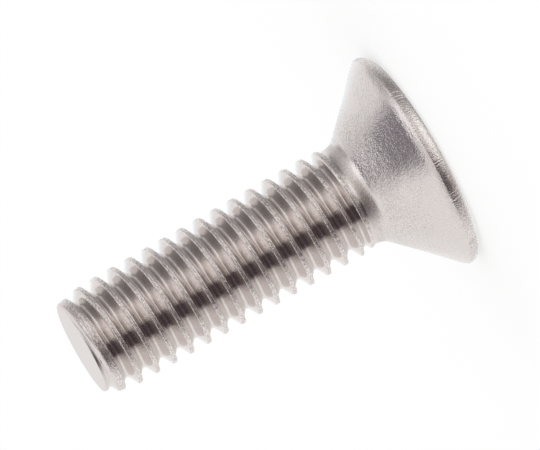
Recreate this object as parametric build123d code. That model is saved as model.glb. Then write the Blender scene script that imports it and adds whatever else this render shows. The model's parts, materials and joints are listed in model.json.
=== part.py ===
from build123d import *
from build123d.topology import SkipClean
import os
from math import ceil, cos, radians, tan

# Countersunk hexagon-socket screw with a rolled, right-hand metric thread.
# It is one piece of stainless steel: a flat head with a conical seat, a short
# plain neck and a fully threaded shank.
# Frame: millimetres. The origin is the centre of the head's flat face, the
# screw's axis is +Z, and the tip points up.

# ---- Driving dimensions --------------------------------------------------------
# Overall
LENGTH = 19.95  # head's flat face to the tip's flat face

# Head
HEAD_DIAMETER = 11.76  # across the widest point, where the rounded rim meets the seat
RIM_HEIGHT = 0.76  # head's flat face to the edge where the seat begins
RIM_RADIUS = 0.68  # rounding of the rim, from the flat face
SEAT_ANGLE = 90.0  # included angle of the conical seat

# Hexagon socket
SOCKET_FLATS = 4.0  # across the flats
SOCKET_DEPTH = 2.5  # head's flat face to the end of the flats
SOCKET_POINT_ANGLE = 120.0  # included angle of the conical bottom
MOUTH_ANGLE = 90.0  # included angle of the countersink at the mouth
MOUTH_MARGIN = 0.10  # countersink's radius beyond the hexagon's corners

# Thread
THREAD_DIAMETER = 5.76  # over the crests
THREAD_PITCH = 1.0
THREAD_ANGLE = 60.0  # included angle of the groove
CREST_WIDTH = 0.19  # flat on top of the thread, along the axis
ROOT_WIDTH = 0.152  # flat at the bottom of the groove, along the axis
THREAD_PHASE = 294.0  # degrees about +Z from +X to the groove where the runout begins

# Neck, and the thread's end beside it
NECK_INSET = 0.19  # neck's wall below the crests, the metal that rolling raises
NECK_FILLET = 0.78  # between the seat and the neck
NECK_LENGTH = 0.50  # end of the seat's cone to where the crests begin to rise
SHOULDER_ANGLE = 18.0  # slope of the rising crests from the axis
RUNOUT_GAP = 0.544  # where the crests begin to rise to where the full groove ends
RUNOUT_TURNS = 0.85  # length of the groove that rises out of the blank
RUNOUT_CROWDING = 0.35  # share of the pitch by which the rising groove closes up to the full one
RUNOUT_ANGLE = 36.0  # slope of the rising groove from the axis

# Tip
TIP_FACE_INSET = 0.41  # edge of the flat end below the crests
TIP_CHAMFER_INSET = 0.28  # foot of the end's chamfer below the crests
TIP_CHAMFER_HEIGHT = 0.18  # flat end to the foot of its chamfer
TIP_TAPER_HEIGHT = 1.50  # flat end to the full crests

# How far a cutting tool runs past what it cuts
CLEAR = 1.0

# ---- Sizes worked out from them ------------------------------------------------
head_r = HEAD_DIAMETER / 2
crest_r = THREAD_DIAMETER / 2
neck_r = crest_r - NECK_INSET
seat_slope = tan(radians(SEAT_ANGLE / 2))
neck_height = RIM_HEIGHT + (head_r - neck_r) / seat_slope
shoulder_height = neck_height + NECK_LENGTH
shoulder_top = shoulder_height + NECK_INSET / tan(radians(SHOULDER_ANGLE))
groove_end = shoulder_height + RUNOUT_GAP
flank_slope = tan(radians(THREAD_ANGLE / 2))
root_r = crest_r - (THREAD_PITCH - CREST_WIDTH - ROOT_WIDTH) / 2 / flank_slope
taper_start = LENGTH - TIP_TAPER_HEIGHT
socket_corner_r = SOCKET_FLATS / 2 / cos(radians(30))
mouth_r = socket_corner_r + MOUTH_MARGIN

# The groove's tool stands proud of the crests by this much. Past half a crest's
# width on each side, neighbouring turns of the tool would run into each other.
tool_overshoot = 0.3 * CREST_WIDTH / flank_slope

# The shank's wall and the groove are worked in equal parts of a turn.
WALL_SECTORS = 8
GROOVE_SECTORS = 4


# ---- Head ----------------------------------------------------------------------
def head_blank() -> Part:
    """Head and neck turned from one profile, up to where the thread takes over."""
    with BuildPart() as turned:
        with BuildSketch(Plane.XZ) as profile:
            with BuildLine():
                Polyline(
                    (0, 0),
                    (head_r, 0),
                    (head_r, RIM_HEIGHT),
                    (neck_r, neck_height),
                    (neck_r, shoulder_height),
                    (0, shoulder_height),
                    close=True,
                )
            make_face()
            corners = profile.vertices()
            fillet(corners.sort_by_distance((head_r, 0, 0))[0], RIM_RADIUS)
            fillet(corners.sort_by_distance((neck_r, 0, neck_height))[0], NECK_FILLET)
        revolve(axis=Axis.Z)
    return turned.part


def socket_tool() -> Part:
    """Hexagonal hole with a conical bottom and a countersunk mouth."""
    point_depth = socket_corner_r / tan(radians(SOCKET_POINT_ANGLE / 2))
    mouth_depth = mouth_r / tan(radians(MOUTH_ANGLE / 2))
    with BuildPart() as tool:
        with BuildSketch(Plane.XY.offset(-CLEAR)):
            RegularPolygon(SOCKET_FLATS / 2, 6, major_radius=False)
        extrude(amount=CLEAR + SOCKET_DEPTH + point_depth)
        with BuildSketch(Plane.XZ):
            with BuildLine():
                Polyline(
                    (0, -CLEAR),
                    (mouth_r, -CLEAR),
                    (mouth_r, SOCKET_DEPTH + (1 - mouth_r / socket_corner_r) * point_depth),
                    (0, SOCKET_DEPTH + point_depth),
                    close=True,
                )
            make_face()
        revolve(axis=Axis.Z, mode=Mode.INTERSECT)
        with BuildSketch(Plane.XZ):
            with BuildLine():
                Polyline((0, 0), (mouth_r, 0), (0, mouth_depth), close=True)
            make_face()
        revolve(axis=Axis.Z)
    return tool.part


# ---- Shank ---------------------------------------------------------------------
def shank_blank() -> Part:
    """Cylinder over the crests, its wall in equal sectors, tapered at both ends."""
    step = 360 / WALL_SECTORS
    rim = Wire([CenterArc((0, 0), crest_r, i * step, step).edge() for i in range(WALL_SECTORS)])
    wall = Solid.extrude(Face(rim), Vector(0, 0, LENGTH - neck_height))
    bar = Part() + Pos(0, 0, neck_height) * wall
    with BuildSketch(Plane.XZ) as beyond_tip:
        with BuildLine():
            Polyline(
                (crest_r, taper_start),
                (crest_r - TIP_CHAMFER_INSET, LENGTH - TIP_CHAMFER_HEIGHT),
                (crest_r - TIP_FACE_INSET, LENGTH),
                (crest_r + CLEAR, LENGTH + CLEAR),
                (crest_r + CLEAR, taper_start),
                close=True,
            )
        make_face()
    with BuildSketch(Plane.XZ) as beyond_shoulder:
        with BuildLine():
            Polyline(
                (neck_r, neck_height - CLEAR),
                (neck_r, shoulder_height),
                (crest_r, shoulder_top),
                (crest_r + CLEAR, shoulder_top),
                (crest_r + CLEAR, neck_height - CLEAR),
                close=True,
            )
        make_face()
    for waste in (beyond_tip, beyond_shoulder):
        bar -= revolve(waste.sketch, axis=Axis.Z)
    return bar


def groove_section(height: float) -> Sketch:
    """Section of the groove on the +X side: a V with a flat root."""
    root_half = ROOT_WIDTH / 2
    top_r = crest_r + tool_overshoot
    top_half = root_half + (top_r - root_r) * flank_slope
    with BuildSketch(Plane.XZ) as section:
        with BuildLine():
            Polyline(
                (root_r, height - root_half),
                (top_r, height - top_half),
                (top_r, height + top_half),
                (root_r, height + root_half),
                close=True,
            )
        make_face()
    return section.sketch


def groove_tool() -> Part:
    """Full groove, from the end of the runout to a whole turn past the tip."""
    rise = THREAD_PITCH / GROOVE_SECTORS
    turn = 360 / GROOVE_SECTORS
    count = ceil((LENGTH + THREAD_PITCH - groove_end) / rise)
    first = Helix(THREAD_PITCH, rise, root_r, center=(0, 0, groove_end)).edge()
    path = Wire([Pos(0, 0, i * rise) * Rot(0, 0, i * turn) * first for i in range(count)])
    return sweep(groove_section(groove_end), path=path, is_frenet=True)


def runout_tool() -> Part:
    """Last part of the groove, on a widening helix that leaves the neck."""
    pitch = THREAD_PITCH * (1 - RUNOUT_CROWDING)
    path = Helix(
        pitch,
        RUNOUT_TURNS * pitch,
        root_r,
        center=(0, 0, groove_end),
        direction=(0, 0, -1),
        cone_angle=RUNOUT_ANGLE,
    )
    section = Rot(0, 0, 180) * groove_section(groove_end)
    return Rot(0, 0, 180) * sweep(section, path=path, is_frenet=True)


# ---- Screw ---------------------------------------------------------------------
def screw() -> Part:
    """The whole screw as one solid."""
    head = head_blank() - socket_tool()
    with SkipClean():  # cleaning would join the sectors of the shank's wall again
        shank = shank_blank() - groove_tool() - runout_tool()
        return head + Rot(0, 0, THREAD_PHASE) * shank


os.makedirs("parts", exist_ok=True)
part = screw()
print(f"screw: {len(part.solids())} solid, {part.volume:.2f} mm3")
export_step(part, "parts/screw.step")
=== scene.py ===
"""Countersunk hexagon-socket screw: its surface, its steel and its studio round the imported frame.

The screw stands on its head as the frame has it. One closed mesh replaces the plain solid and
brings what the frame leaves out: rounded roots and crests, the seam that rolling leaves on the
crests, the worked edge of the head and the marks of handling. Lengths inside the forms are
millimetres, and the meshes are written in metres.
"""

from __future__ import annotations

import json
import logging
import math
from dataclasses import dataclass
from enum import Enum

import bpy
import numpy as np
from mathutils import Matrix, Vector

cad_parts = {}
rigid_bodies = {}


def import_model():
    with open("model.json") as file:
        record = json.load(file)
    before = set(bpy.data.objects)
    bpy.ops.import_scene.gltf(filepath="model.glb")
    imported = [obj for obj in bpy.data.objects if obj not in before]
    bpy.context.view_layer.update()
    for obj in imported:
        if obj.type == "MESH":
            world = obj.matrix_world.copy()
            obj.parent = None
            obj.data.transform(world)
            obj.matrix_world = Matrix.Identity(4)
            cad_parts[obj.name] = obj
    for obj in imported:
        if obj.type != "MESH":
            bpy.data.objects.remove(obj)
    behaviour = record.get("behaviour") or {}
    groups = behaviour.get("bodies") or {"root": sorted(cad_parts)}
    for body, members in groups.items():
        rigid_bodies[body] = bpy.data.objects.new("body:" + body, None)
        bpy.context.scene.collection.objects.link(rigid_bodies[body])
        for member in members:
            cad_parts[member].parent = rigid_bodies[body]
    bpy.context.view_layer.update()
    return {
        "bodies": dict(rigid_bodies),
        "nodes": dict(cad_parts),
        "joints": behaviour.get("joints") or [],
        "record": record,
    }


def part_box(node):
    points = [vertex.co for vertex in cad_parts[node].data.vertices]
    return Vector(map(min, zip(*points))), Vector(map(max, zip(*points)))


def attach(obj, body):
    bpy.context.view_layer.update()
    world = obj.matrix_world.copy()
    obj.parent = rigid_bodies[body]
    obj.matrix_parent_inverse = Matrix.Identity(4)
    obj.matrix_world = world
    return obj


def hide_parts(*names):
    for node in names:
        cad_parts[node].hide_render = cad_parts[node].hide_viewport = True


log = logging.getLogger("screw")

MM = 0.001
PIECE = "screw_body"
NODE = "screw"
FULL_TURN = 2 * math.pi
SIXTH_TURN = FULL_TURN / 6


# ---- Small numpy helpers ----------------------------------------------------------------
def ease(share: np.ndarray) -> np.ndarray:
    """Cubic ease: 3 s^2 - 2 s^3 of the share s, held to 0..1."""
    held = np.clip(share, 0.0, 1.0)
    return held * held * (3.0 - 2.0 * held)


def soft_min(first: np.ndarray, second: np.ndarray, blend: float) -> np.ndarray:
    """Lower of two surfaces, with the corner between them rounded over the blend's width.

    Args:
        first: One surface's radius or height.
        second: The other's.
        blend: Difference between the two inside which the corner is rounded.

    Returns:
        The lower one, less a parabola of the difference inside the blend.
    """
    share = np.clip(0.5 + 0.5 * (second - first) / blend, 0.0, 1.0)
    return second + (first - second) * share - blend * share * (1.0 - share)


def bell(distance: np.ndarray, width: float) -> np.ndarray:
    """Bell curve of 1 in its middle: e to the minus of the distance over the width, squared."""
    return np.exp(-((distance / width) ** 2))


@dataclass(frozen=True)
class Fade:
    """Eased change from 0 at the start to 1 at the end."""

    start: float
    end: float

    def of(self, values: np.ndarray) -> np.ndarray:
        """Mask of each value: the ease of its share of the way from the start to the end."""
        return ease((values - self.start) / (self.end - self.start))


@dataclass(frozen=True)
class Grain:
    """Smooth noise on the screw's surface that closes on itself round the axis.

    Random values stand at the corners of a grid of cells, and between them each point blends its
    four corners by the cubic ease.
    """

    cells_around: int
    cell_height: float  # in millimetres
    seed: int
    rows: int = 512

    def at(self, angle: np.ndarray, along: np.ndarray) -> np.ndarray:
        """Noise from -1 to 1.

        Args:
            angle: Angles round the axis, in radians.
            along: Distances along the surface, in millimetres.

        Returns:
            The noise at each point.
        """
        values = np.random.default_rng(self.seed).uniform(-1, 1, (self.cells_around, self.rows))
        across = np.mod(angle / FULL_TURN, 1.0) * self.cells_around
        up = along / self.cell_height
        i, j = np.floor(across).astype(int), np.floor(up).astype(int)
        s, t = ease(across - i), ease(up - j)
        i0, i1 = i % self.cells_around, (i + 1) % self.cells_around
        j0, j1 = j % self.rows, (j + 1) % self.rows
        low = values[i0, j0] * (1 - s) + values[i1, j0] * s
        high = values[i0, j1] * (1 - s) + values[i1, j1] * s
        return low * (1 - t) + high * t


# ---- The screw's forms ------------------------------------------------------------------
class Zone(Enum):
    """Named parts of the surface, written to the mesh as masks for the steel's finish."""

    CREST = "crest"
    THREAD = "thread"
    NECK = "neck"
    RIM = "rim"
    CONE = "cone"
    THROAT = "throat"
    TIP = "tip"


@dataclass(frozen=True)
class FrameSizes:
    """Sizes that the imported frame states, in millimetres."""

    length: float
    head_radius: float
    crest_radius: float

    @classmethod
    def read(cls, frame: dict) -> FrameSizes:
        """Reads the box of the screw's node and the radius of its thread's mount.


        Returns:
            The sizes.
        """
        low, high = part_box(NODE)
        mounts = {mount["name"]: mount for mount in frame["record"]["mounts"]}
        return cls((high.z - low.z) / MM, high.x / MM, mounts["thread"]["dims"]["r_mm"])


@dataclass(frozen=True)
class ThreadForm:
    """Rolled 60 degree thread, its runout into the neck and its taper at the tip.

    Heights are above the head's flat face, and insets are below the full crests. The phase is
    the angle, in degrees, of the groove's middle at its end.
    """

    sizes: FrameSizes
    # Profile of the groove and the crest
    pitch: float = 1.0
    flank_angle: float = 30.0
    crest_width: float = 0.19
    root_radius: float = 2.312
    crest_rounding: float = 0.05
    # Neck, and where the thread's surface meets the head's
    neck_inset: float = 0.19
    neck_fillet: float = 1.0
    fillet_end: float = 4.364
    low: float = 4.20
    # End of the full groove, and the runout below it
    phase: float = 51.4
    groove_end: float = 5.32
    runout_angle: float = 24.5
    runout_drift: float = 0.31
    # Shoulder over which the crests rise
    shoulder_height: float = 4.36
    shoulder_angle: float = 20.0
    shoulder_rounding: float = 0.05
    # Taper and broken last crest at the tip
    taper_height: float = 1.50
    taper_inset: float = 0.26
    chamfer_height: float = 0.20
    lip_radius: float = 2.34
    lip_start: float = 0.18
    lip_fade: float = 0.36
    # Seam and unevenness that rolling leaves on the crests
    crest_reach: float = 0.10
    crest_fade: float = 0.25
    seam_depth: float = 0.022
    seam_width: float = 0.035
    seam_change: float = 0.45
    seam_grain: Grain = Grain(90, 0.5, 11)
    crest_roughness: float = 0.006
    fine_grain: Grain = Grain(150, 0.11, 12)
    wide_grain: Grain = Grain(60, 0.3, 13)
    wide_share: float = 0.6

    @property
    def neck_radius(self) -> float:
        """Radius of the plain neck under the head."""
        return self.sizes.crest_radius - self.neck_inset

    @property
    def sharp_radius(self) -> float:
        """Radius at which the two flanks would meet if the root weren't rounded."""
        half_gap = (self.pitch - self.crest_width) / 2
        return self.sizes.crest_radius - half_gap / math.tan(math.radians(self.flank_angle))

    @property
    def high(self) -> float:
        """Height at the foot of the tip's chamfer, where the thread's surface ends."""
        return self.sizes.length - self.chamfer_height

    @property
    def start(self) -> float:
        """Height of the groove's middle at angle 0, within a turn below the groove's end."""
        return self.groove_end - self.pitch * math.radians(self.phase) / FULL_TURN

    def gap(self, height: np.ndarray, angle: np.ndarray) -> np.ndarray:
        """Signed distance along the axis from the middle of the nearest groove.

        The groove climbs one pitch a turn, so its middle is where the height, in pitches from the
        groove's end, equals the angle, in turns from the phase. Below its end the groove leaves
        the helix towards the tip by the drift's share of its distance from that end.

        Args:
            height: Heights above the head's flat face.
            angle: Angles round the axis, in radians.

        Returns:
            The distance of each point, above 0 towards the tip.
        """
        turns = (height - self.groove_end) / self.pitch
        turns = turns - (angle - math.radians(self.phase)) / FULL_TURN
        gap = (turns - np.round(turns)) * self.pitch
        return gap - self.runout_drift * self.past_end(height, gap)

    def past_end(self, height: np.ndarray, gap: np.ndarray) -> np.ndarray:
        """Distance of the groove's middle below the groove's end, or 0 above it."""
        return np.maximum(self.groove_end - (height - gap), 0.0)

    def groove(self, gap: np.ndarray) -> np.ndarray:
        """Radius of the groove's wall: an arc at the root, then a straight flank.

        The arc touches both flanks. Its radius is the root's rise above the sharp corner, and its
        centre is two such radii above that corner.

        Args:
            gap: Distances along the axis from the groove's middle.

        Returns:
            The radius at each distance.
        """
        away = np.abs(gap)
        slope = math.tan(math.radians(self.flank_angle))
        arc_radius = self.root_radius - self.sharp_radius
        centre = self.sharp_radius + 2 * arc_radius
        arc = centre - np.sqrt(np.maximum(arc_radius**2 - away**2, 0.0))
        touch = arc_radius * math.cos(math.radians(self.flank_angle))
        return np.where(away < touch, arc, self.sharp_radius + away / slope)

    def blank(self, height: np.ndarray) -> np.ndarray:
        """Radius over the crests: neck, shoulder, full crests, then the taper to the tip.

        The neck's first part is the end of the head's fillet, an arc that leaves it upright. The
        shoulder is a cone, rounded at its foot. The taper falls evenly by its inset.

        Args:
            height: Heights above the head's flat face.

        Returns:
            The radius at each height.
        """
        full = self.sizes.crest_radius
        below = np.clip(self.fillet_end - height, 0.0, self.neck_fillet)
        fillet = self.neck_fillet - np.sqrt(self.neck_fillet**2 - below**2)
        climb = (height - self.shoulder_height) * math.tan(math.radians(self.shoulder_angle))
        rise = -soft_min(-climb, np.zeros_like(climb), self.shoulder_rounding)
        shoulder = self.neck_radius + fillet + rise
        start = self.sizes.length - self.taper_height
        fall = np.clip((height - start) / (self.high - start), 0.0, None)
        return soft_min(shoulder, full - self.taper_inset * fall, self.crest_rounding)

    def lip(self, height: np.ndarray, gap: np.ndarray) -> np.ndarray:
        """Radius left of the last crest, which is broken away where the groove nears the end.

        Past a groove whose middle is nearer to the end than the start, only the lip's radius is
        left, and the crest comes back over the fade beyond.

        Args:
            height: Heights above the head's flat face.
            gap: Distances from the nearest groove's middle.

        Returns:
            The radius over what is left of the crests.
        """
        full = self.blank(height)
        from_end = self.sizes.length - height + gap
        back = ease((from_end - self.lip_start) / self.lip_fade)
        worn = self.lip_radius + (full - self.lip_radius) * back
        return np.where(gap > 0, worn, full)

    def radius(self, height: np.ndarray, angle: np.ndarray) -> np.ndarray:
        """Radius of the finished thread.

        The lower of the blank and the groove, with the crest's corners rounded. The groove rises
        out of the blank below its end. The middle of each crest dips along the seam of the rolled
        metal, and small noise roughens it.

        Args:
            height: Heights above the head's flat face.
            angle: Angles round the axis, in radians.

        Returns:
            The radius at each point.
        """
        gap = self.gap(height, angle)
        wall = soft_min(self.risen(height, gap), self.lip(height, gap), self.crest_rounding)
        from_middle = self.pitch / 2 - np.abs(gap)
        seam = self.seam_depth * bell(from_middle, self.seam_width)
        seam = seam * (1 - self.seam_change + self.seam_change * self.seam_grain.at(angle, height))
        rough = self.fine_grain.at(angle, height)
        rough = rough + self.wide_share * self.wide_grain.at(angle, height)
        return wall - self.crest(height, angle) * (seam + self.crest_roughness * rough)

    def risen(self, height: np.ndarray, gap: np.ndarray) -> np.ndarray:
        """Radius of the groove's wall, which rises by the runout's slope below its end."""
        slope = math.tan(math.radians(self.runout_angle))
        return self.groove(gap) + self.past_end(height, gap) * slope

    def crest(self, height: np.ndarray, angle: np.ndarray) -> np.ndarray:
        """Mask of 1 on the crests and 0 down the flanks and on the neck.

        It eases in as the surface nears the blank, and above the shoulder's foot.

        Args:
            height: Heights above the head's flat face.
            angle: Angles round the axis, in radians.

        Returns:
            The mask at each point.
        """
        proud = self.risen(height, self.gap(height, angle)) - self.blank(height)
        above = ease((height - self.shoulder_height) / self.crest_fade)
        return above * ease((proud + self.crest_reach) / self.crest_reach)


@dataclass(frozen=True)
class HeadForm:
    """Countersunk head: neck fillet, conical seat, worked rim, flat face and hexagon socket.

    The top is the height at which the thread's surface takes over. The shares place the socket's
    rings: down its mouth, down its wall, and from its wall to its middle.
    """

    sizes: FrameSizes
    neck_radius: float
    neck_fillet: float
    top: float
    # Seat, and the edge where it rolls off
    seat_angle: float = 90.0
    seat_hollow: float = 0.03
    seat_edge: float = 0.12
    seat_roll: float = 3.0
    seat_roll_turn: float = 9.0
    # Rim
    rim_height: float = 0.76
    rim_rise: float = 0.62
    rim_inset: float = 0.74
    # Socket
    socket_flats: float = 4.0
    socket_depth: float = 2.5
    socket_point_angle: float = 120.0
    mouth_margin: float = 0.10
    mouth_shares: tuple[float, ...] = (0.35, 0.7, 1.0)
    wall_shares: tuple[float, ...] = (0.02, 0.25, 0.5, 0.75, 0.97, 1.0)
    point_shares: tuple[float, ...] = (0.97, 0.75, 0.5, 0.25, 0.06)
    # Points along each part of the profile
    fillet_points: int = 15
    seat_points: int = 22
    roll_points: int = 5
    edge_points: int = 7
    rim_points: int = 15
    face_points: int = 8

    @property
    def seat_half(self) -> float:
        """Angle of the seat from the axis, in radians."""
        return math.radians(self.seat_angle / 2)

    @property
    def neck_height(self) -> float:
        """Height at which the cone would meet the neck without a fillet."""
        run = self.sizes.head_radius - self.neck_radius
        return self.rim_height + run / math.tan(self.seat_half)

    @property
    def corner_radius(self) -> float:
        """Radius of the hexagon's corners."""
        return self.socket_flats / 2 / math.cos(SIXTH_TURN / 2)

    @property
    def mouth_radius(self) -> float:
        """Radius of the countersink round the socket."""
        return self.corner_radius + self.mouth_margin

    @property
    def point_depth(self) -> float:
        """Depth of the socket's conical bottom, out to the hexagon's corners."""
        return self.corner_radius / math.tan(math.radians(self.socket_point_angle / 2))

    @property
    def socket_bottom(self) -> float:
        """Height of the socket's lowest point inside the head."""
        return self.socket_depth + self.point_depth

    def outside(self) -> tuple[np.ndarray, np.ndarray]:
        """Profile from the neck down over the seat and the rim to the socket's mouth.

        The fillet is an arc that touches the neck and the seat, and it reaches its radius times
        the tangent of half the seat's angle along them. It begins below the top, where the
        thread's surface ends. The rim is a quarter of an ellipse. The seat dips between its ends
        by a parabola of its length.

        Returns:
            Radii and heights of the profile's points, in order.
        """
        half, fillet = self.seat_half, self.neck_fillet
        head = self.sizes.head_radius
        fillet_end = self.neck_height + fillet * math.tan(half / 2)
        start = math.asin((fillet_end - self.top) / fillet)
        turn = np.linspace(start, half, self.fillet_points)[1:]
        fillet_r = self.neck_radius + fillet * (1 - np.cos(turn))
        fillet_z = self.neck_height + fillet * (math.tan(half / 2) - np.sin(turn))
        edge_r, edge_z = self.edge()
        share = np.linspace(0.0, 1.0, self.seat_points)[1:-1]
        dip = 4 * self.seat_hollow * share * (1 - share)
        cone_r = fillet_r[-1] + (edge_r[0] - fillet_r[-1]) * share - dip * math.cos(half)
        cone_z = fillet_z[-1] + (edge_z[0] - fillet_z[-1]) * share - dip * math.sin(half)
        turn = np.linspace(0.0, math.pi / 2, self.rim_points)
        rim_r = head - self.rim_inset * (1 - np.cos(turn))
        rim_z = self.rim_rise * (1 - np.sin(turn))
        face_r = np.linspace(rim_r[-1], self.mouth_radius, self.face_points)[1:]
        radii = np.concatenate([fillet_r, cone_r, edge_r, rim_r, face_r])
        return radii, np.concatenate([fillet_z, cone_z, edge_z, rim_z, np.zeros_like(face_r)])

    def edge(self) -> tuple[np.ndarray, np.ndarray]:
        """Profile where the seat rolls off and turns over its edge into the rim.

        Two arcs of one tangent: a wide one takes the first part of the turn from the seat's slope
        to upright, and a tight one the rest. Each point is the sum of the arcs' chords from the
        widest place, and the seat's line runs on through the head's radius at the rim's height.

        Returns:
            Radii and heights of the profile's points, from the seat down to the widest place.
        """
        half = self.seat_half
        change = half - math.radians(self.seat_roll_turn)
        roll = np.linspace(half, change, self.roll_points)
        turn = np.concatenate([roll, np.linspace(change, 0.0, self.edge_points)[1:]])
        tight, wide = np.minimum(turn, change), np.maximum(turn, change)
        inward = self.seat_edge * (1 - np.cos(tight))
        inward += self.seat_roll * (math.cos(change) - np.cos(wide))
        rise = self.seat_edge * np.sin(tight)
        rise += self.seat_roll * (np.sin(wide) - math.sin(change))
        foot = self.rim_height + inward[0] / math.tan(half) - rise[0]
        return self.sizes.head_radius - inward, foot + rise

    def hexagon(self, angle: np.ndarray) -> np.ndarray:
        """Radius of the socket's wall: half the flats over the cosine from the nearest flat."""
        from_flat = np.mod(angle, SIXTH_TURN) - SIXTH_TURN / 2
        return self.socket_flats / 2 / np.cos(from_flat)

    def socket(self, angle: np.ndarray) -> tuple[np.ndarray, np.ndarray]:
        """Rings of the socket, from its countersunk mouth down to its conical bottom.

        The countersink goes in as far as it goes down. The bottom's cone falls evenly from the
        corners to the middle, so the wall ends where it meets that cone.

        Args:
            angle: Angle of each column.

        Returns:
            Radii and heights, one row a ring and one column an angle.
        """
        wall = self.hexagon(angle)
        top = self.mouth_radius - wall
        bottom = self.socket_depth + self.point_depth * (1 - wall / self.corner_radius)
        rows_r = [self.mouth_radius + (wall - self.mouth_radius) * s for s in self.mouth_shares]
        rows_z = [top * s for s in self.mouth_shares]
        rows_r += [wall for _ in self.wall_shares]
        rows_z += [top + (bottom - top) * s for s in self.wall_shares]
        for share in self.point_shares:
            radius = wall * share
            rows_r.append(radius)
            rows_z.append(self.socket_depth + self.point_depth * (1 - radius / self.corner_radius))
        return np.array(rows_r), np.array(rows_z)


@dataclass(frozen=True)
class TipForm:
    """Flat end with a worn chamfer. The face's rings are shares of its edge's radius."""

    sizes: FrameSizes
    thread: ThreadForm
    face_inset: float = 0.41
    edge_rounding: float = 0.03
    edge_points: int = 9
    face_shares: tuple[float, ...] = (0.995, 0.98, 0.9, 0.8, 0.68, 0.55, 0.42, 0.3, 0.18, 0.07)

    def rings(self, angle: np.ndarray) -> tuple[np.ndarray, np.ndarray]:
        """Rings from the foot of the chamfer over the rounded edge to near the middle.

        The edge is a quarter of an ellipse from the thread's last ring to the flat face, and the
        groove cuts it wherever the groove is deeper.

        Args:
            angle: Angle of each column.

        Returns:
            Radii and heights, one row a ring and one column an angle.
        """
        foot = self.thread.blank(np.array(self.thread.high))
        face = self.sizes.crest_radius - self.face_inset
        turn = np.linspace(0.0, math.pi / 2, self.edge_points)[1:]
        radii = face + (foot - face) * np.cos(turn)
        heights = self.thread.high + self.thread.chamfer_height * np.sin(turn)
        rows_r = []
        rows_z = []
        for radius, height in zip(radii, heights):
            level = np.full_like(angle, height)
            gap = self.thread.gap(level, angle)
            worn = np.minimum(self.thread.lip(level, gap), radius)
            rows_r.append(soft_min(self.thread.groove(gap), worn, self.edge_rounding))
            rows_z.append(level)
        edge = rows_r[-1]
        rows_r += [edge * share for share in self.face_shares]
        rows_z += [np.full_like(angle, self.sizes.length) for _ in self.face_shares]
        return np.array(rows_r), np.array(rows_z)


# ---- One closed surface -----------------------------------------------------------------
@dataclass
class Surface:
    """Vertices, triangles and masks of one closed mesh."""

    radii: np.ndarray
    angles: np.ndarray
    heights: np.ndarray
    triangles: np.ndarray
    masks: dict[Zone, np.ndarray]

    def to_object(self, name: str) -> bpy.types.Object:
        """Writes the surface to a mesh object at the origin, in metres.

        Each vertex is its radius times the cosine and sine of its angle, at its height.

        Args:
            name: Name of the object and of its mesh.

        Returns:
            The object, linked to the scene.
        """
        across, back = self.radii * np.cos(self.angles), self.radii * np.sin(self.angles)
        points = np.stack([across, back, self.heights], axis=1)
        mesh = bpy.data.meshes.new(name)
        mesh.vertices.add(len(points))
        mesh.vertices.foreach_set("co", (points * MM).astype(np.float32).ravel())
        mesh.loops.add(self.triangles.size)
        mesh.loops.foreach_set("vertex_index", self.triangles.astype(np.int32).ravel())
        mesh.polygons.add(len(self.triangles))
        starts = np.arange(len(self.triangles), dtype=np.int32) * 3
        mesh.polygons.foreach_set("loop_start", starts)
        mesh.update(calc_edges=True)
        mesh.shade_smooth()
        for zone, values in self.masks.items():
            attribute = mesh.attributes.new(zone.value, "FLOAT", "POINT")
            attribute.data.foreach_set("value", values.astype(np.float32))
        mesh.validate()
        piece = bpy.data.objects.new(name, mesh)
        bpy.context.scene.collection.objects.link(piece)
        return piece


@dataclass(frozen=True)
class ZoneFades:
    """Where the zones' masks ease in, over heights or radii in millimetres.

    Those of the rim and of the cone's foot start from the rim's height. Their inner ones start
    from the radius of the head and of the neck.
    """

    rim_top: Fade = Fade(0.02, -0.02)
    rim_inside: Fade = Fade(-1.0, -0.7)
    cone_foot: Fade = Fade(0.02, 0.06)
    cone_inside: Fade = Fade(-0.05, 0.0)
    throat_outside: Fade = Fade(4.5, 3.7)
    throat_inside: Fade = Fade(3.0, 3.25)
    neck_foot: Fade = Fade(3.82, 4.0)
    neck_top: Fade = Fade(4.42, 4.32)


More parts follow.
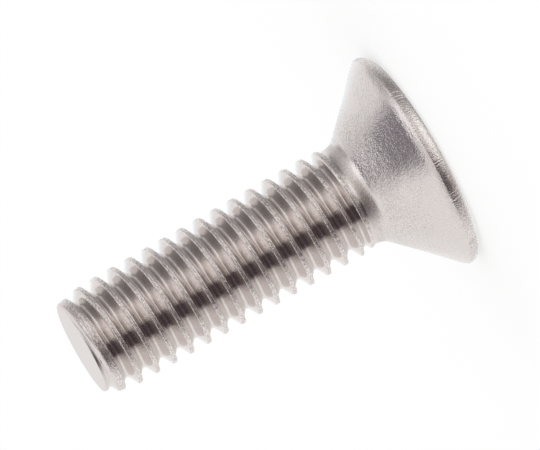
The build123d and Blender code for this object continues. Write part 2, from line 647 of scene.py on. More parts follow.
@dataclass
class ScrewMesher:
    """Joins the thread's helical grid with the rings of head and tip.

    The half rows are shares of a pitch, from a groove's middle to the next crest's.
    """

    head: HeadForm
    thread: ThreadForm
    tip: TipForm
    fades: ZoneFades = ZoneFades()
    columns: int = 216
    half_rows: tuple[float, ...] = (
        0.0, 0.05, 0.09, 0.13, 0.22, 0.31, 0.37, 0.39, 0.41, 0.435, 0.47
    )

    def profile_rows(self) -> np.ndarray:
        """Places of the grid's rows across one pitch, from one groove's middle to the next."""
        half = np.array(self.half_rows)
        return np.concatenate([half, [0.5], 1.0 - half[:0:-1]]) * self.thread.pitch

    def build(self) -> Surface:
        """Works out every vertex, then every triangle.

        Returns:
            The closed surface.
        """
        first_ring = np.arange(self.columns)
        angle = first_ring * FULL_TURN / self.columns
        thread_triangles, (thread_r, thread_angle, thread_z) = self.thread_grid(angle)
        outer_r, outer_z = self.head.outside()
        level = np.ones(self.columns)
        socket_r, socket_z = self.head.socket(angle)
        below_r = np.concatenate([np.outer(outer_r, level), socket_r])
        below_z = np.concatenate([np.outer(outer_z, level), socket_z])
        above_r, above_z = self.tip.rings(angle)
        below_start = len(thread_r)
        above_start = below_start + below_r.size
        poles = above_start + above_r.size
        pole_z = [self.head.socket_bottom, self.thread.sizes.length]
        radii = np.concatenate([thread_r, below_r.ravel(), above_r.ravel(), [0.0, 0.0]])
        heights = np.concatenate([thread_z, below_z.ravel(), above_z.ravel(), pole_z])
        rings = len(below_r) + len(above_r)
        angles = np.concatenate([thread_angle, np.tile(angle, rings), [0.0, 0.0]])
        below_ids = below_start + np.arange(below_r.size).reshape(below_r.shape)
        above_ids = above_start + np.arange(above_r.size).reshape(above_r.shape)
        down = np.concatenate([[first_ring], below_ids])
        up = np.concatenate([[first_ring + self.columns], above_ids])
        ends = [self.fan(down[-1][::-1], poles), self.fan(up[-1], poles + 1)]
        sides = [thread_triangles, self.bands(down[::-1]), self.bands(up)]
        masks = self.masks(radii, angles, heights, below_start, above_start)
        return Surface(radii, angles, heights, np.concatenate(sides + ends), masks)

    def thread_grid(self, angle: np.ndarray) -> tuple[np.ndarray, tuple[np.ndarray, ...]]:
        """Grid whose rows follow the helix, cut off level at both ends.

        Row j of column k stands at the low end plus the row's place plus the column's share of a
        pitch, so a row climbs one pitch a turn and joins the row one pitch above it. Heights past
        an end are held to it, and their vertices are those of that end's ring.

        Args:
            angle: Angle of each column.

        Returns:
            Triangles, and the radii, angles and heights of their vertices. The first ring of
            vertices is the low end and the second the high end.
        """
        thread, columns = self.thread, self.columns
        rows = self.profile_rows()
        first = math.floor((thread.low - thread.start) / thread.pitch) - 1
        last = math.ceil((thread.high - thread.start) / thread.pitch)
        bases = thread.start + thread.pitch * np.arange(first, last + 1)
        base = (bases[:, None] + rows[None, :]).ravel()
        grid = base[:, None] + thread.pitch * angle[None, :] / FULL_TURN
        is_low, is_high = grid <= thread.low, grid >= thread.high
        inner = ~(is_low | is_high)
        ids = np.empty(grid.shape, dtype=np.int64)
        column = np.broadcast_to(np.arange(columns), grid.shape)
        ids[is_low] = column[is_low]
        ids[is_high] = columns + column[is_high]
        ids[inner] = 2 * columns + np.arange(inner.sum())
        spread = np.broadcast_to(angle, grid.shape)
        angles = np.concatenate([angle, angle, spread[inner]])
        level = np.ones(columns)
        heights = np.concatenate([thread.low * level, thread.high * level, grid[inner]])
        radii = thread.radius(heights, angles)
        here = ids[: -len(rows)]
        beside = np.concatenate([here[:, 1:], ids[len(rows):, :1]], axis=1)
        return self.triangles(here, beside), (radii, angles, heights)

    @staticmethod
    def triangles(here: np.ndarray, beside: np.ndarray) -> np.ndarray:
        """Two triangles for each cell between a column and the next, less those with no area.

        Args:
            here: Vertex of each row, from low to high, and of each column.
            beside: Vertex of the same row in the next column round.

        Returns:
            Triangles whose three vertices differ, facing outwards.
        """
        a, b, c, d = here[:-1], beside[:-1], beside[1:], here[1:]
        first = np.stack([a, b, c], axis=-1).reshape(-1, 3)
        second = np.stack([a, c, d], axis=-1).reshape(-1, 3)
        both = np.concatenate([first, second])
        keep = (both[:, 0] != both[:, 1]) & (both[:, 1] != both[:, 2]) & (both[:, 2] != both[:, 0])
        return both[keep]

    @staticmethod
    def bands(rings: np.ndarray) -> np.ndarray:
        """Triangles between rings listed from low to high, facing outwards."""
        return ScrewMesher.triangles(rings, np.roll(rings, -1, axis=1))

    @staticmethod
    def fan(ring: np.ndarray, pole: int) -> np.ndarray:
        """Triangles from a ring to the vertex in its middle."""
        return np.stack([ring, np.roll(ring, -1), np.full_like(ring, pole)], axis=-1)

    def masks(
        self,
        radii: np.ndarray,
        angles: np.ndarray,
        heights: np.ndarray,
        below_start: int,
        above_start: int,
    ) -> dict[Zone, np.ndarray]:
        """Works out each zone's mask on every vertex.

        Args:
            radii: Radius of each vertex.
            angles: Angle of each vertex.
            heights: Height of each vertex.
            below_start: First vertex of the head. Those before it are the thread's.
            above_start: First vertex of the tip. The two poles come after the tip's, the
                socket's first.

        Returns:
            Masks from 0 to 1, by zone.
        """
        head, fades = self.head, self.fades
        on_thread = np.zeros_like(radii)
        on_thread[:below_start] = 1.0
        crest = np.zeros_like(radii)
        crest[:below_start] = self.thread.crest(heights[:below_start], angles[:below_start])
        above_rim, in_head = heights - head.rim_height, radii - head.sizes.head_radius
        rim = fades.rim_top.of(above_rim) * fades.rim_inside.of(in_head)
        cone = (1 - on_thread) * fades.cone_foot.of(above_rim)
        cone = cone * fades.cone_inside.of(radii - head.neck_radius)
        cone[above_start:] = 0.0
        throat = cone * fades.throat_outside.of(radii) * fades.throat_inside.of(radii)
        neck = fades.neck_foot.of(heights) * fades.neck_top.of(heights)
        tip = np.zeros_like(radii)
        tip[above_start:] = 1.0
        tip[-2] = 0.0
        return {
            Zone.CREST: crest,
            Zone.THREAD: on_thread,
            Zone.NECK: neck,
            Zone.RIM: rim,
            Zone.CONE: cone,
            Zone.THROAT: throat,
            Zone.TIP: tip,
        }


# ---- Nodes ------------------------------------------------------------------------------
NUMBER = "NodeSocketFloat"
VECTOR = "NodeSocketVector"

# What an input takes: another node's output, or a value of its own.
Feed = bpy.types.NodeSocket | float | tuple[float, ...]


class Nodes:
    """Short calls for building one node tree."""

    def __init__(self, tree: bpy.types.NodeTree) -> None:
        """Keeps the tree that the calls add to."""
        self.tree = tree

    def feed(self, socket: bpy.types.NodeSocket, value: Feed) -> None:
        """Feeds an input.

        Args:
            socket: The input.
            value: Output to link to it, or its own value.
        """
        if isinstance(value, bpy.types.NodeSocket):
            self.tree.links.new(value, socket)
        else:
            socket.default_value = value

    def add(self, kind: str, *inputs: Feed, **properties: str) -> bpy.types.Node:
        """Adds a node.

        Args:
            kind: Node type without the ShaderNode prefix.
            inputs: Values or outputs for its first inputs, in order.
            properties: Properties of the node, by name.

        Returns:
            The node.
        """
        node = self.tree.nodes.new("ShaderNode" + kind)
        for name, value in properties.items():
            setattr(node, name, value)
        for socket, value in zip(node.inputs, inputs):
            self.feed(socket, value)
        return node

    def math(self, operation: str, *values: Feed) -> bpy.types.NodeSocket:
        """Adds a Math node and returns its output."""
        return self.add("Math", *values, operation=operation).outputs[0]

    def vector(self, operation: str, *values: Feed) -> bpy.types.NodeSocket:
        """Adds a Vector Math node and returns its output."""
        return self.add("VectorMath", *values, operation=operation).outputs[0]

    def scaled(self, vector: Feed, scale: Feed) -> bpy.types.NodeSocket:
        """Multiplies a vector by a number.

        Args:
            vector: The vector.
            scale: The number.

        Returns:
            Their product.
        """
        node = self.add("VectorMath", vector, operation="SCALE")
        self.feed(node.inputs["Scale"], scale)
        return node.outputs[0]

    def in_cells(self, place: Feed, cell: Feed) -> bpy.types.NodeSocket:
        """Place counted in cells: the place over the cell's width."""
        return self.scaled(place, self.math("DIVIDE", 1.0, cell))

    def noise(self, place: Feed, detail: float, scale: Feed = 1.0, flat: bool = False,
              roughness: float = 0.5) -> bpy.types.NodeSocket:
        """Adds a noise of about 0 to 1.

        Args:
            place: Where to read it.
            detail: How many finer noises are added.
            scale: Cells in each unit of the place.
            flat: Whether it leaves out the place's third coordinate.
            roughness: Strength of each finer noise as a share of the one before.

        Returns:
            Its value.
        """
        node = self.add("TexNoise", place, noise_dimensions="2D" if flat else "3D")
        self.feed(node.inputs["Scale"], scale)
        node.inputs["Detail"].default_value = detail
        node.inputs["Roughness"].default_value = roughness
        return node.outputs[0]

    def ramp(
        self, value: Feed, start: Feed, end: Feed, low: float = 0.0, high: float = 1.0
    ) -> bpy.types.NodeSocket:
        """Eased ramp that goes from low at the start to high at the end."""
        inputs = (value, start, end, low, high)
        return self.add("MapRange", *inputs, interpolation_type="SMOOTHSTEP").outputs[0]

    def mix(self, share: Feed, first: Feed, second: Feed) -> bpy.types.NodeSocket:
        """Mixes two colours.

        Args:
            share: Share of the second.
            first: The first colour.
            second: The second colour.

        Returns:
            The mixed colour.
        """
        node = self.tree.nodes.new("ShaderNodeMix")
        node.data_type = "RGBA"
        for name, value in (("Factor_Float", share), ("A_Color", first), ("B_Color", second)):
            socket = next(s for s in node.inputs if s.identifier == name)
            self.feed(socket, (*value, 1.0) if isinstance(value, tuple) else value)
        return next(s for s in node.outputs if s.identifier == "Result_Color")

    def attribute(self, zone: Zone) -> bpy.types.NodeSocket:
        """Mask of one of the surface's zones."""
        return self.add("Attribute", attribute_name=zone.value).outputs["Fac"]

    def place(self, group: bpy.types.NodeTree, *inputs: Feed) -> bpy.types.NodeSocket:
        """Places a group.

        Args:
            group: The group.
            inputs: Values or outputs for its inputs, in order.

        Returns:
            Its output.
        """
        node = self.add("Group", node_tree=group)
        for socket, value in zip(node.inputs, inputs):
            self.feed(socket, value)
        return node.outputs[0]


def new_group(
    name: str, inputs: dict[str, str], output: str
) -> tuple[Nodes, dict[str, bpy.types.NodeSocket], bpy.types.NodeSocket]:
    """Starts a shader node group.

    Args:
        name: Name of the group.
        inputs: Socket type of each input, by name.
        output: Name of its one output, a number.

    Returns:
        Calls on its tree, its inputs by name, and the socket that its result goes into.
    """
    tree = bpy.data.node_groups.new(name, "ShaderNodeTree")
    for label, kind in inputs.items():
        tree.interface.new_socket(label, in_out="INPUT", socket_type=kind)
    tree.interface.new_socket(output, in_out="OUTPUT", socket_type="NodeSocketFloat")
    entry = tree.nodes.new("NodeGroupInput")
    leave = tree.nodes.new("NodeGroupOutput")
    return Nodes(tree), {label: entry.outputs[label] for label in inputs}, leave.inputs[output]


# How strong a grain's finer noises are, as shares of the coarser ones.
GRAIN_ROUGHNESS = 0.6

# Spans of a noise's values. The first is about all of it, and the others are its upper part.
NOISE_SPAN = (0.34, 0.66)
RIDGE_SPAN = (0.36, 0.64)
RIDGE_PATCH_SPAN = (0.50, 0.62)
SCRATCH_SPAN = (0.60, 0.66)
SCRATCH_PATCH_SPAN = (0.44, 0.58)


def grain_group() -> bpy.types.NodeTree:
    """Height of a fine grain: noise of -1 to 1 of the place over the cell, times the depth.

    Returns:
        The group.
    """
    labels = {"Place": VECTOR, "Cell": NUMBER, "Depth": NUMBER}
    nodes, given, result = new_group("grain", labels, "Height")
    cells = nodes.in_cells(given["Place"], given["Cell"])
    noise = nodes.noise(cells, detail=2.0, roughness=GRAIN_ROUGHNESS)
    signed = nodes.math("MULTIPLY_ADD", noise, 2.0, -1.0)
    nodes.feed(result, nodes.math("MULTIPLY", signed, given["Depth"]))
    return nodes.tree


def fleck_and_glint_group() -> bpy.types.NodeTree:
    """Shade of fine flecks, which are grain and painted glints that stand in for the sparkle of
    rough steel: 1 plus the depth times a noise of -1 to 1 with most at its ends.

    Returns:
        The group.
    """
    labels = {"Place": VECTOR, "Cell": NUMBER, "Depth": NUMBER}
    nodes, given, result = new_group("fleck", labels, "Shade")
    noise = nodes.noise(nodes.in_cells(given["Place"], given["Cell"]), detail=1.0)
    signed = nodes.ramp(noise, *NOISE_SPAN, -1.0, 1.0)
    nodes.feed(result, nodes.math("MULTIPLY_ADD", signed, given["Depth"], 1.0))
    return nodes.tree


def streak_group() -> bpy.types.NodeTree:
    """Lines that rolling draws along the thread: noise of -1 to 1, stretched along the helix.

    The place's share of a pitch above the middle of the groove is one coordinate. The number of
    turns climbed along the helix is the other. Both go on unbroken round the axis, and the share
    starts again in the middle of each groove. The width is a length, and the reach a share of a
    turn.

    Returns:
        The group.
    """
    labels = {"Place": VECTOR, "Pitch": NUMBER, "Start": NUMBER, "Width": NUMBER, "Reach": NUMBER}
    nodes, given, result = new_group("streak", labels, "Lines")
    x, y, z = nodes.add("SeparateXYZ", given["Place"]).outputs
    angle = nodes.math("DIVIDE", nodes.math("ARCTAN2", y, x), FULL_TURN)
    climbed = nodes.math("DIVIDE", nodes.math("SUBTRACT", z, given["Start"]), given["Pitch"])
    share = nodes.math("FRACT", nodes.math("SUBTRACT", climbed, angle))
    whole = nodes.math("SUBTRACT", climbed, share)
    across = nodes.math("DIVIDE", nodes.math("MULTIPLY", share, given["Pitch"]), given["Width"])
    along = nodes.math("DIVIDE", whole, given["Reach"])
    unrolled = nodes.add("CombineXYZ", across, along).outputs[0]
    noise = nodes.noise(unrolled, detail=1.0, flat=True)
    nodes.feed(result, nodes.ramp(noise, *NOISE_SPAN, -1.0, 1.0))
    return nodes.tree


def scratch_group() -> bpy.types.NodeTree:
    """Mask of fine scratches: the top of a noise stretched along one way, kept in patches.

    Returns:
        The group.
    """
    labels = {"Place": VECTOR, "Turn": VECTOR, "Size": VECTOR, "Patch": NUMBER}
    nodes, given, result = new_group("scratch", labels, "Mask")
    stretched = nodes.add("Mapping", vector_type="TEXTURE")
    nodes.feed(stretched.inputs["Vector"], given["Place"])
    nodes.feed(stretched.inputs["Rotation"], given["Turn"])
    nodes.feed(stretched.inputs["Scale"], given["Size"])
    line = nodes.ramp(nodes.noise(stretched.outputs[0], detail=1.0), *SCRATCH_SPAN)
    patches = nodes.noise(nodes.in_cells(given["Place"], given["Patch"]), detail=0.0)
    kept = nodes.ramp(patches, *SCRATCH_PATCH_SPAN)
    nodes.feed(result, nodes.math("MULTIPLY", line, kept))
    return nodes.tree


def ridge_group() -> bpy.types.NodeTree:
    """Ridges straight across the rim: noise of -1 to 1 of the way round the axis, in patches.

    Returns:
        The group.
    """
    labels = {"Place": VECTOR, "Cells": NUMBER, "Patches": NUMBER}
    nodes, given, result = new_group("ridge", labels, "Lines")
    x, y, _ = nodes.add("SeparateXYZ", given["Place"]).outputs
    way = nodes.vector("NORMALIZE", nodes.add("CombineXYZ", x, y, 0.0).outputs[0])
    noise = nodes.noise(way, detail=1.0, scale=given["Cells"], flat=True)
    patches = nodes.noise(way, detail=1.0, scale=given["Patches"], flat=True)
    lines = nodes.ramp(noise, *RIDGE_SPAN, -1.0, 1.0)
    nodes.feed(result, nodes.math("MULTIPLY", lines, nodes.ramp(patches, *RIDGE_PATCH_SPAN)))
    return nodes.tree


# ---- Steel ------------------------------------------------------------------------------
@dataclass(frozen=True)
class ZoneFinish:
    """Finish of one zone: how blurred its gloss is, its grain's cell and depth, and its flecks,
    which are grain and painted glints in the colour.

    The wave is a second, wider unevenness, with a cell and depth of its own.
    """

    roughness: float
    cell: float
    depth: float
    # Depth of the flecks in the colour: grain, with painted glints
    fleck: float
    wave_cell: float = 0.4
    wave_depth: float = 0.0


@dataclass(frozen=True)
class SteelFinish:
    """Bright tumbled stainless steel, worked differently in each zone. Lengths are in mm.

    Flecks, which are grain and painted glints, streaks and scratches change the colour's strength
    by shares of it. The ridges and their patches are counted in cells to each radius along the rim.
    """

    name: str = "stainless_steel"
    color: tuple[float, float, float] = (0.70, 0.65, 0.63)
    # Gloss, grain and flecks of each zone; the flecks are partly painted glints
    plain: ZoneFinish = ZoneFinish(0.10, 0.10, 0.0010, 0.05)
    crest: ZoneFinish = ZoneFinish(0.23, 0.055, 0.010, 0.12)
    neck: ZoneFinish = ZoneFinish(0.34, 0.06, 0.008, 0.12)
    rim: ZoneFinish = ZoneFinish(0.22, 0.08, 0.012, 0.17)
    cone: ZoneFinish = ZoneFinish(0.11, 0.09, 0.0055, 0.05, 0.45, 0.006)
    throat: ZoneFinish = ZoneFinish(0.20, 0.085, 0.006, 0.10, 0.22, 0.008)
    tip: ZoneFinish = ZoneFinish(0.34, 0.12, 0.003, 0.04, 0.7, 0.006)
    # Flecks with painted glints, everywhere
    fleck_and_glint_cell: float = 0.075
    # Streaks along the thread
    streak_width: float = 0.045
    streak_reach: float = 0.012
    streak_fleck: float = 0.18
    streak_depth: float = 0.0007
    # Scratches on the seat
    scratch_turn: float = 30.0
    scratch_width: float = 0.045
    scratch_length: float = 0.45
    scratch_shade: float = 0.30
    scratch_patch: float = 1.6
    # Ridges across the rim
    ridges: float = 42.0
    ridge_patches: float = 4.0
    ridge_depth: float = 0.010

    def zones(self) -> dict[Zone, ZoneFinish]:
        """Lists the finishes that are laid over the plain one.

        Returns:
            Finish of each zone, in the order in which they are laid.
        """
        return {
            Zone.CREST: self.crest,
            Zone.RIM: self.rim,
            Zone.CONE: self.cone,
            Zone.NECK: self.neck,
            Zone.THROAT: self.throat,
            Zone.TIP: self.tip,
        }

    def material(self, thread: ThreadForm) -> bpy.types.Material:
        """Makes the material.

        Args:
            thread: The thread that the rolled streaks follow.

        Returns:
            The material.
        """
        material = bpy.data.materials.new(self.name)
        material.use_nodes = True
        nodes = Nodes(material.node_tree)
        shader = material.node_tree.nodes["Principled BSDF"]
        shader.inputs["Metallic"].default_value = 1.0
        place = nodes.scaled(nodes.add("TexCoord").outputs["Object"], 1.0 / MM)
        height, roughness, fleck = self.worked(nodes, place)
        lines = nodes.place(
            streak_group(), place, thread.pitch, thread.start - thread.pitch,
            self.streak_width, self.streak_reach,
        )
        lines = nodes.math("MULTIPLY", lines, nodes.attribute(Zone.THREAD))
        height = nodes.math("MULTIPLY_ADD", lines, self.streak_depth, height)
        ridges = nodes.place(ridge_group(), place, self.ridges, self.ridge_patches)
        ridges = nodes.math("MULTIPLY", ridges, nodes.attribute(Zone.RIM))
        height = nodes.math("MULTIPLY_ADD", ridges, self.ridge_depth, height)
        bump = nodes.add("Bump")
        bump.inputs["Distance"].default_value = MM
        nodes.feed(bump.inputs["Height"], height)
        color = nodes.scaled(self.color, self.shade(nodes, place, fleck, lines))
        nodes.feed(shader.inputs["Base Color"], color)
        nodes.feed(shader.inputs["Roughness"], roughness)
        nodes.feed(shader.inputs["Normal"], bump.outputs[0])
        return material

    def worked(self, nodes: Nodes, place: Feed) -> tuple[Feed, Feed, Feed]:
        """Lays each zone's grain, gloss and flecks, which hold painted glints, over the plain
        steel's.

        Args:
            nodes: Calls on the material's tree.
            place: Place on the screw, in millimetres.

        Returns:
            The grain's height, the roughness and the depth of the flecks and their painted glints.
        """
        grain = grain_group()
        height = nodes.place(grain, place, self.plain.cell, self.plain.depth)
        roughness, fleck = self.plain.roughness, self.plain.fleck
        for zone, finish in self.zones().items():
            mask = nodes.attribute(zone)
            rise = nodes.place(grain, place, finish.cell, finish.depth)
            if finish.wave_depth:
                wave = nodes.place(grain, place, finish.wave_cell, finish.wave_depth)
                rise = nodes.math("ADD", rise, wave)
            height = nodes.math("MULTIPLY_ADD", rise, mask, height)
            change = nodes.math("SUBTRACT", finish.roughness, roughness)
            roughness = nodes.math("MULTIPLY_ADD", change, mask, roughness)
            change = nodes.math("SUBTRACT", finish.fleck, fleck)
            fleck = nodes.math("MULTIPLY_ADD", change, mask, fleck)
        return height, roughness, fleck

    def shade(self, nodes: Nodes, place: Feed, fleck: Feed, lines: Feed) -> Feed:
        """Strength of the colour: flecks with painted glints, plus streaks on the crests, less the
        seat's scratches.

        Args:
            nodes: Calls on the material's tree.
            place: Place on the screw, in millimetres.
            fleck: Depth of the flecks, grain and painted glints.
            lines: Streaks of -1 to 1.

        Returns:
            The strength, about 1.
        """
        # Random flecks in the colour: grain of the worked steel, and painted glints of its rough
        # surface.
        shade = nodes.place(fleck_and_glint_group(), place, self.fleck_and_glint_cell, fleck)
        on_crest = nodes.math("MULTIPLY", nodes.attribute(Zone.CREST), self.streak_fleck)
        shade = nodes.math("MULTIPLY_ADD", lines, on_crest, shade)
        size = (self.scratch_length, self.scratch_width, self.scratch_width)
        turn = (0.0, math.radians(self.scratch_turn), 0.0)
        scratches = nodes.place(scratch_group(), place, turn, size, self.scratch_patch)
        scratches = nodes.math("MULTIPLY", scratches, nodes.attribute(Zone.CONE))
        left = nodes.math("MULTIPLY_ADD", scratches, -self.scratch_shade, 1.0)
        return nodes.math("MULTIPLY", shade, left)


# ---- Studio -----------------------------------------------------------------------------
@dataclass(frozen=True)
class Panel:
    """Soft-edged area of the surroundings, placed by the mirror that would show it to the lens.

    A mirror turned about the screw's axis by the turn, and leaning along it so that its normal
    rises by the lean, shows the lens the middle of the panel. The panel reaches the half turn to
    either side, from the low lean to the high one, and fades out over its edges. The slant is how
    far it turns for each unit of lean.
    """

    shade: tuple[float, float, float]
    turn: float
    half_turn: float
    low: float
    high: float
    slant: float = 0.0
    turn_edge: float = 7.0
    lean_edge: float = 0.10


# Later panels cover earlier ones.
PANELS = (
    # Broad light to the right
    Panel((1.06, 1.10, 1.13), turn=113, half_turn=36, low=-1.5, high=1.5, turn_edge=11),
    # Grey card to the right, above the level
    Panel(
        (0.54, 0.52, 0.53), turn=38, half_turn=13, low=0.05, high=0.67,
        slant=2, turn_edge=6, lean_edge=0.10,
    ),
    # Grey card to the right, below the level
    Panel(
        (0.39, 0.38, 0.38), turn=40, half_turn=20, low=-0.95, high=0.12,
        slant=13, turn_edge=3, lean_edge=0.08,
    ),
    # Darker strip on the lower card
    Panel(
        (0.28, 0.27, 0.27), turn=42, half_turn=8, low=-0.77, high=-0.11,
        slant=4, turn_edge=6, lean_edge=0.07,
    ),
    # Key light, low
    Panel((1.39, 1.40, 1.39), turn=9, half_turn=15, low=-0.77, high=-0.27, slant=5, turn_edge=6),
    # Pale band between the key light's two parts
    Panel((0.99, 0.96, 0.94), turn=13, half_turn=11, low=-0.26, high=0.24, slant=14, turn_edge=11),
    # Grey strip on the level
    Panel((0.64, 0.58, 0.55), turn=-1, half_turn=10, low=-0.06, high=0.08, slant=8, turn_edge=6),
    # Key light, high
    Panel(
        (1.24, 1.24, 1.26), turn=20, half_turn=10, low=0.31, high=0.90,
        slant=4, turn_edge=8, lean_edge=0.04,
    ),
    # Dark card above the level
    Panel(
        (0.27, 0.21, 0.19), turn=-1, half_turn=12, low=0.12, high=0.43,
        slant=-6, turn_edge=9, lean_edge=0.06,
    ),
    # Flag that the seat mirrors
    Panel(
        (0.25, 0.23, 0.26), turn=13, half_turn=20, low=0.668, high=0.80,
        slant=3, turn_edge=7, lean_edge=0.02,
    ),
    # Tall grey card to the left
    Panel(
        (0.34, 0.30, 0.28), turn=-19, half_turn=14, low=-0.91, high=0.59,
        slant=3, turn_edge=14, lean_edge=0.08,
    ),
    # Black strip on the tall card
    Panel(
        (0.09, 0.07, 0.08), turn=-19, half_turn=11, low=-0.38, high=0.42,
        slant=-2, turn_edge=4, lean_edge=0.13,
    ),
    # Broad light from below, to the left
    Panel(
        (1.21, 1.28, 1.30), turn=-76, half_turn=54, low=-1.5, high=-0.72,
        slant=4, turn_edge=11, lean_edge=0.12,
    ),
    # Thin grey strip far to the right
    Panel(
        (0.37, 0.37, 0.36), turn=59, half_turn=5, low=0.12, high=0.62,
        slant=-4, turn_edge=5, lean_edge=0.06,
    ),
)


@dataclass(frozen=True)
class Studio:
    """Pale floor and white surroundings with soft panels.

    The floor's half width is in metres, and the share of its white that is lit is its lit part.
    """

    lens_tilt: float
    floor_half: float = 1.5
    floor_lit: float = 0.35
    paper: tuple[float, float, float, float] = (1.0, 1.0, 1.0, 1.0)
    white: tuple[float, float, float] = (1.0, 1.0, 1.0)

    def build(self) -> None:
        """Makes the floor and the surroundings."""
        self.floor()
        self.surroundings()

    def floor(self) -> None:
        """Square floor under the head, out of the steel's reflections.

        Part of its white is its own and the rest is lit, so the screw's shadow on it is soft.
        From below it is clear and shows the socket.
        """
        half = self.floor_half
        corners = [(-half, -half, 0.0), (half, -half, 0.0), (half, half, 0.0), (-half, half, 0.0)]
        mesh = bpy.data.meshes.new("floor")
        mesh.from_pydata(corners, [], [(0, 1, 2, 3)])
        floor = bpy.data.objects.new("floor", mesh)
        bpy.context.scene.collection.objects.link(floor)
        floor.visible_glossy = False
        material = bpy.data.materials.new("floor_paper")
        material.use_nodes = True
        tree = material.node_tree
        tree.nodes.clear()
        nodes = Nodes(tree)
        glow = nodes.add("Emission", self.paper)
        lit = nodes.add("BsdfDiffuse", self.paper)
        pale = nodes.add("MixShader", self.floor_lit, glow.outputs[0], lit.outputs[0])
        under = nodes.add("NewGeometry").outputs["Backfacing"]
        clear = nodes.add("BsdfTransparent")
        both = nodes.add("MixShader", under, pale.outputs[0], clear.outputs[0])
        nodes.add("OutputMaterial", both.outputs[0])
        mesh.materials.append(material)

    def surroundings(self) -> None:
        """White world whose panels show only in gloss.

        For each direction, the mirror that shows it to the lens has its normal half-way between
        that direction and the lens. The normal's turn and lean are compared with each panel's.
        """
        world = bpy.data.worlds.new("studio")
        bpy.context.scene.world = world
        world.use_nodes = True
        nodes = Nodes(world.node_tree)
        tilt = math.radians(self.lens_tilt)
        towards_lens = (0.0, -math.cos(tilt), math.sin(tilt))
        direction = nodes.add("TexCoord").outputs["Generated"]
        half_way = nodes.vector("NORMALIZE", nodes.vector("ADD", direction, towards_lens))
        side, depth, lean = nodes.add("SeparateXYZ", half_way).outputs
        front = nodes.math("MULTIPLY", depth, -1.0)
        turn = nodes.math("DEGREES", nodes.math("ARCTAN2", side, front))
        group = self.panel_group()
        color = self.white
        for panel in PANELS:
            mask = nodes.place(
                group, turn, lean, panel.turn, panel.half_turn, panel.turn_edge,
                panel.slant, panel.low, panel.high, panel.lean_edge,
            )
            color = nodes.mix(mask, color, panel.shade)
        glossy = nodes.add("LightPath").outputs["Is Glossy Ray"]
        shown = nodes.mix(glossy, self.white, color)
        background = world.node_tree.nodes["Background"]
        nodes.feed(background.inputs["Color"], shown)
        background.inputs["Strength"].default_value = 1.0

    @staticmethod
    def panel_group() -> bpy.types.NodeTree:
        """Mask of one panel: an eased window of its turn times one of its lean.

        Returns:
            The group.
        """
        labels = ("Turn", "Lean", "Centre", "Half Turn", "Turn Edge", "Slant")
        labels += ("Low", "High", "Lean Edge")
        nodes, given, result = new_group("studio_panel", dict.fromkeys(labels, NUMBER), "Mask")
        centre = nodes.math("MULTIPLY_ADD", given["Slant"], given["Lean"], given["Centre"])
        away = nodes.math("ABSOLUTE", nodes.math("SUBTRACT", given["Turn"], centre))
        outer = nodes.math("ADD", given["Half Turn"], given["Turn Edge"])
        inner = nodes.math("SUBTRACT", given["Half Turn"], given["Turn Edge"])
        masks = [nodes.ramp(away, outer, inner)]
        for limit, sign in ((given["Low"], 1.0), (given["High"], -1.0)):
            reach = nodes.math("MULTIPLY", given["Lean Edge"], sign)
            start = nodes.math("SUBTRACT", limit, reach)
            end = nodes.math("ADD", limit, reach)
            masks.append(nodes.ramp(given["Lean"], start, end))
        nodes.feed(result, nodes.math("MULTIPLY", masks[0], nodes.math("MULTIPLY", *masks[1:])))
        return nodes.tree


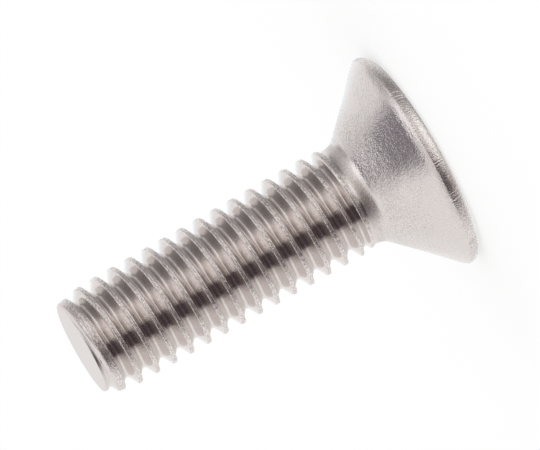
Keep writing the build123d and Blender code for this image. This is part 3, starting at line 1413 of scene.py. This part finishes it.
@dataclass(frozen=True)
class Viewpoint:
    """Long lens that looks down on the screw from the side of its tip.

    Angles are in degrees and lengths in millimetres. The aim is the point in the view's
    middle, and the clip's ends are in metres.
    """

    tilt: float = 8.6
    axis_slope: float = 29.75
    aim_right: float = 0.767
    aim_up: float = 8.456
    distance: float = 1000.0
    view_width: float = 540.0
    pixels_per_mm: float = 19.903
    sensor: float = 36.0
    clip: tuple[float, float] = (0.01, 10.0)

    def build(self) -> bpy.types.Object:
        """Makes the camera.

        Unrolled, its right is +X and its up leans back from +Z by the tilt. The roll then turns
        the view until the tip points down to the left, by the axis's slope.

        Returns:
            The camera, set as the scene's.
        """
        tilt, turn = math.radians(self.tilt), math.radians(90.0 + self.axis_slope)
        side = Vector((1.0, 0.0, 0.0))
        rise = Vector((0.0, math.sin(tilt), math.cos(tilt)))
        back = Vector((0.0, -math.cos(tilt), math.sin(tilt)))
        aim = (side * self.aim_right + rise * self.aim_up) * MM
        right = side * math.cos(turn) - rise * math.sin(turn)
        up = side * math.sin(turn) + rise * math.cos(turn)
        data = bpy.data.cameras.new("camera")
        data.sensor_width = self.sensor
        data.lens = self.sensor * self.pixels_per_mm * self.distance / self.view_width
        data.clip_start, data.clip_end = self.clip
        camera = bpy.data.objects.new("camera", data)
        turned = Matrix((right, up, back)).transposed().to_4x4()
        camera.matrix_world = Matrix.Translation(aim + back * self.distance * MM) @ turned
        bpy.context.scene.collection.objects.link(camera)
        bpy.context.scene.camera = camera
        return camera


# ---- Assembly ---------------------------------------------------------------------------
@dataclass
class Screw:
    """The whole screw: forms, mesh and finish."""

    sizes: FrameSizes
    finish: SteelFinish = SteelFinish()

    def build(self) -> bpy.types.Object:
        """Builds the mesh, dresses it and puts it in the place of the frame's node.

        Returns:
            The finished piece.
        """
        thread = ThreadForm(self.sizes)
        head = HeadForm(self.sizes, thread.neck_radius, thread.neck_fillet, thread.low)
        tip = TipForm(self.sizes, thread)
        surface = ScrewMesher(head, thread, tip).build()
        piece = surface.to_object(PIECE)
        piece.data.materials.append(self.finish.material(thread))
        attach(piece, "root")
        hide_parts(NODE)
        return piece


def corners(box: tuple[Vector, Vector]) -> list[list[float]]:
    """A box's two corners as plain lists."""
    return [list(corner) for corner in box]


def main() -> None:
    """Loads the frame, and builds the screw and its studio."""
    logging.basicConfig(level=logging.INFO, format="%(name)s: %(message)s")
    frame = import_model()
    bpy.context.scene.view_settings.view_transform = "Standard"
    piece = Screw(FrameSizes.read(frame)).build()
    log.info("%s: %d triangles", piece.name, len(piece.data.polygons))
    viewpoint = Viewpoint()
    Studio(viewpoint.tilt).build()
    viewpoint.build()


if __name__ == "__main__":
    main()
